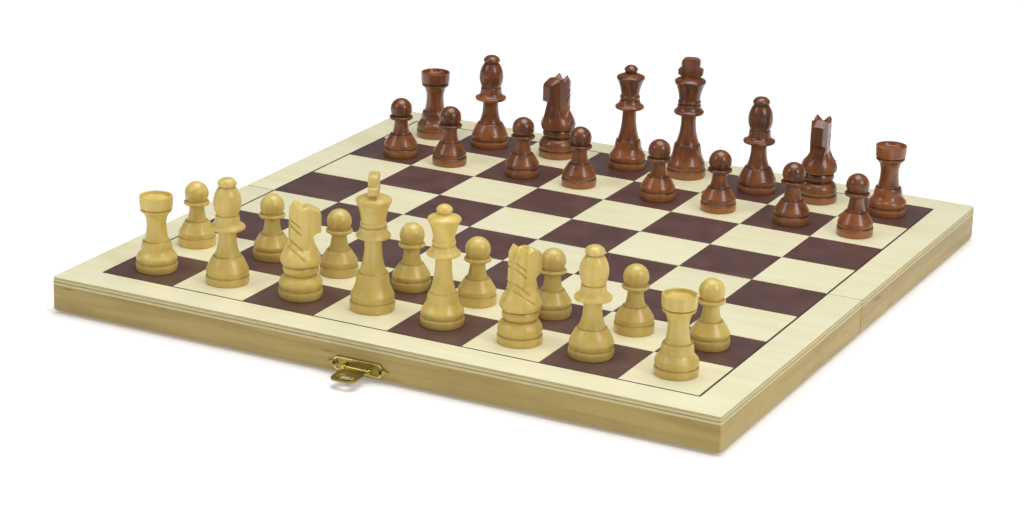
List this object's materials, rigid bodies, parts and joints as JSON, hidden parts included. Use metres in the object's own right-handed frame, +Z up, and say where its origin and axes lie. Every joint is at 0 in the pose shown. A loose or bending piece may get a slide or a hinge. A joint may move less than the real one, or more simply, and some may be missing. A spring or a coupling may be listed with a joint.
{
  "type": "folding chess set with board",
  "caption": "Folding wooden chess board with hinged trays, brass clasp and a full set of turned wooden men, open and set up for play.",
  "frame": {"origin": "on the fold line midway between the sides, at the level of the table under the hinge barrels", "axes": "+X to the right along the near edge, +Y from the clasp side to the far side, +Z up from the table"},
  "size_m": [0.3, 0.3174, 0.0733],
  "materials": {
    "birch_plywood": "satin lacquer, with printed maroon-brown squares",
    "beech_rail": "satin lacquer",
    "brass": "bright stamped sheet",
    "plated_steel": "brass-plated steel",
    "pale_wood": "satin lacquer",
    "dark_wood": "stained, gloss lacquer"
  },
  "bodies": {
    "near_half": {"near_panel": "birch_plywood", "near_front_rail": "beech_rail", "near_hinge_rail": "beech_rail", "near_left_rail": "beech_rail", "near_right_rail": "beech_rail", "near_hinge_leaves": "brass", "near_hinge_screws": "plated_steel", "hinge_pins": "plated_steel", "clasp_plate": "brass", "clasp_pin": "plated_steel", "clasp_screws": "plated_steel"},
    "far_half": {"far_panel": "birch_plywood", "far_front_rail": "beech_rail", "far_hinge_rail": "beech_rail", "far_left_rail": "beech_rail", "far_right_rail": "beech_rail", "far_hinge_leaves": "brass", "far_hinge_screws": "plated_steel", "catch_plate": "brass", "catch_screws": "plated_steel"},
    "clasp_tongue": {"clasp_tongue": "brass"},
    "pale_rook_a1": {"pale_rook_a1": "pale_wood"},
    "pale_bishop_b1": {"pale_bishop_b1": "pale_wood"},
    "pale_knight_c1": {"pale_knight_c1": "pale_wood"},
    "pale_king_d1": {"pale_king_d1": "pale_wood"},
    "pale_queen_e1": {"pale_queen_e1": "pale_wood"},
    "pale_knight_f1": {"pale_knight_f1": "pale_wood"},
    "pale_bishop_g1": {"pale_bishop_g1": "pale_wood"},
    "pale_rook_h1": {"pale_rook_h1": "pale_wood"},
    "pale_pawn_a2": {"pale_pawn_a2": "pale_wood"},
    "pale_pawn_b2": {"pale_pawn_b2": "pale_wood"},
    "pale_pawn_c2": {"pale_pawn_c2": "pale_wood"},
    "pale_pawn_d2": {"pale_pawn_d2": "pale_wood"},
    "pale_pawn_e2": {"pale_pawn_e2": "pale_wood"},
    "pale_pawn_f2": {"pale_pawn_f2": "pale_wood"},
    "pale_pawn_g2": {"pale_pawn_g2": "pale_wood"},
    "pale_pawn_h2": {"pale_pawn_h2": "pale_wood"},
    "dark_pawn_a7": {"dark_pawn_a7": "dark_wood"},
    "dark_pawn_b7": {"dark_pawn_b7": "dark_wood"},
    "dark_pawn_c7": {"dark_pawn_c7": "dark_wood"},
    "dark_pawn_d7": {"dark_pawn_d7": "dark_wood"},
    "dark_pawn_e7": {"dark_pawn_e7": "dark_wood"},
    "dark_pawn_f7": {"dark_pawn_f7": "dark_wood"},
    "dark_pawn_g7": {"dark_pawn_g7": "dark_wood"},
    "dark_pawn_h7": {"dark_pawn_h7": "dark_wood"},
    "dark_rook_a8": {"dark_rook_a8": "dark_wood"},
    "dark_bishop_b8": {"dark_bishop_b8": "dark_wood"},
    "dark_knight_c8": {"dark_knight_c8": "dark_wood"},
    "dark_queen_d8": {"dark_queen_d8": "dark_wood"},
    "dark_king_e8": {"dark_king_e8": "dark_wood"},
    "dark_bishop_f8": {"dark_bishop_f8": "dark_wood"},
    "dark_knight_g8": {"dark_knight_g8": "dark_wood"},
    "dark_rook_h8": {"dark_rook_h8": "dark_wood"}
  },
  "joints": [
    {"name": "fold", "type": "hinge", "parent": "near_half", "child": "far_half", "pos_m": [0, 0, 0.001], "axis": [-1, 0, 0], "range_deg": [0, 180]},
    {"name": "clasp_swing", "type": "hinge", "parent": "near_half", "child": "clasp_tongue", "pos_m": [-0.0037, -0.15205, 0.00465], "axis": [1, 0, 0], "range_deg": [-80, 86]},
    {"name": "pale_rook_a1_lift", "type": "slide", "parent": "near_half", "child": "pale_rook_a1", "axis": [0, 0, 1], "range_m": [0, 0.06]},
    {"name": "pale_bishop_b1_lift", "type": "slide", "parent": "near_half", "child": "pale_bishop_b1", "axis": [0, 0, 1], "range_m": [0, 0.06]},
    {"name": "pale_knight_c1_lift", "type": "slide", "parent": "near_half", "child": "pale_knight_c1", "axis": [0, 0, 1], "range_m": [0, 0.06]},
    {"name": "pale_king_d1_lift", "type": "slide", "parent": "near_half", "child": "pale_king_d1", "axis": [0, 0, 1], "range_m": [0, 0.06]},
    {"name": "pale_queen_e1_lift", "type": "slide", "parent": "near_half", "child": "pale_queen_e1", "axis": [0, 0, 1], "range_m": [0, 0.06]},
    {"name": "pale_knight_f1_lift", "type": "slide", "parent": "near_half", "child": "pale_knight_f1", "axis": [0, 0, 1], "range_m": [0, 0.06]},
    {"name": "pale_bishop_g1_lift", "type": "slide", "parent": "near_half", "child": "pale_bishop_g1", "axis": [0, 0, 1], "range_m": [0, 0.06]},
    {"name": "pale_rook_h1_lift", "type": "slide", "parent": "near_half", "child": "pale_rook_h1", "axis": [0, 0, 1], "range_m": [0, 0.06]},
    {"name": "pale_pawn_a2_lift", "type": "slide", "parent": "near_half", "child": "pale_pawn_a2", "axis": [0, 0, 1], "range_m": [0, 0.06]},
    {"name": "pale_pawn_b2_lift", "type": "slide", "parent": "near_half", "child": "pale_pawn_b2", "axis": [0, 0, 1], "range_m": [0, 0.06]},
    {"name": "pale_pawn_c2_lift", "type": "slide", "parent": "near_half", "child": "pale_pawn_c2", "axis": [0, 0, 1], "range_m": [0, 0.06]},
    {"name": "pale_pawn_d2_lift", "type": "slide", "parent": "near_half", "child": "pale_pawn_d2", "axis": [0, 0, 1], "range_m": [0, 0.06]},
    {"name": "pale_pawn_e2_lift", "type": "slide", "parent": "near_half", "child": "pale_pawn_e2", "axis": [0, 0, 1], "range_m": [0, 0.06]},
    {"name": "pale_pawn_f2_lift", "type": "slide", "parent": "near_half", "child": "pale_pawn_f2", "axis": [0, 0, 1], "range_m": [0, 0.06]},
    {"name": "pale_pawn_g2_lift", "type": "slide", "parent": "near_half", "child": "pale_pawn_g2", "axis": [0, 0, 1], "range_m": [0, 0.06]},
    {"name": "pale_pawn_h2_lift", "type": "slide", "parent": "near_half", "child": "pale_pawn_h2", "axis": [0, 0, 1], "range_m": [0, 0.06]},
    {"name": "dark_pawn_a7_lift", "type": "slide", "parent": "far_half", "child": "dark_pawn_a7", "axis": [0, 0, 1], "range_m": [0, 0.06]},
    {"name": "dark_pawn_b7_lift", "type": "slide", "parent": "far_half", "child": "dark_pawn_b7", "axis": [0, 0, 1], "range_m": [0, 0.06]},
    {"name": "dark_pawn_c7_lift", "type": "slide", "parent": "far_half", "child": "dark_pawn_c7", "axis": [0, 0, 1], "range_m": [0, 0.06]},
    {"name": "dark_pawn_d7_lift", "type": "slide", "parent": "far_half", "child": "dark_pawn_d7", "axis": [0, 0, 1], "range_m": [0, 0.06]},
    {"name": "dark_pawn_e7_lift", "type": "slide", "parent": "far_half", "child": "dark_pawn_e7", "axis": [0, 0, 1], "range_m": [0, 0.06]},
    {"name": "dark_pawn_f7_lift", "type": "slide", "parent": "far_half", "child": "dark_pawn_f7", "axis": [0, 0, 1], "range_m": [0, 0.06]},
    {"name": "dark_pawn_g7_lift", "type": "slide", "parent": "far_half", "child": "dark_pawn_g7", "axis": [0, 0, 1], "range_m": [0, 0.06]},
    {"name": "dark_pawn_h7_lift", "type": "slide", "parent": "far_half", "child": "dark_pawn_h7", "axis": [0, 0, 1], "range_m": [0, 0.06]},
    {"name": "dark_rook_a8_lift", "type": "slide", "parent": "far_half", "child": "dark_rook_a8", "axis": [0, 0, 1], "range_m": [0, 0.06]},
    {"name": "dark_bishop_b8_lift", "type": "slide", "parent": "far_half", "child": "dark_bishop_b8", "axis": [0, 0, 1], "range_m": [0, 0.06]},
    {"name": "dark_knight_c8_lift", "type": "slide", "parent": "far_half", "child": "dark_knight_c8", "axis": [0, 0, 1], "range_m": [0, 0.06]},
    {"name": "dark_queen_d8_lift", "type": "slide", "parent": "far_half", "child": "dark_queen_d8", "axis": [0, 0, 1], "range_m": [0, 0.06]},
    {"name": "dark_king_e8_lift", "type": "slide", "parent": "far_half", "child": "dark_king_e8", "axis": [0, 0, 1], "range_m": [0, 0.06]},
    {"name": "dark_bishop_f8_lift", "type": "slide", "parent": "far_half", "child": "dark_bishop_f8", "axis": [0, 0, 1], "range_m": [0, 0.06]},
    {"name": "dark_knight_g8_lift", "type": "slide", "parent": "far_half", "child": "dark_knight_g8", "axis": [0, 0, 1], "range_m": [0, 0.06]},
    {"name": "dark_rook_h8_lift", "type": "slide", "parent": "far_half", "child": "dark_rook_h8", "axis": [0, 0, 1], "range_m": [0, 0.06]}
  ]
}
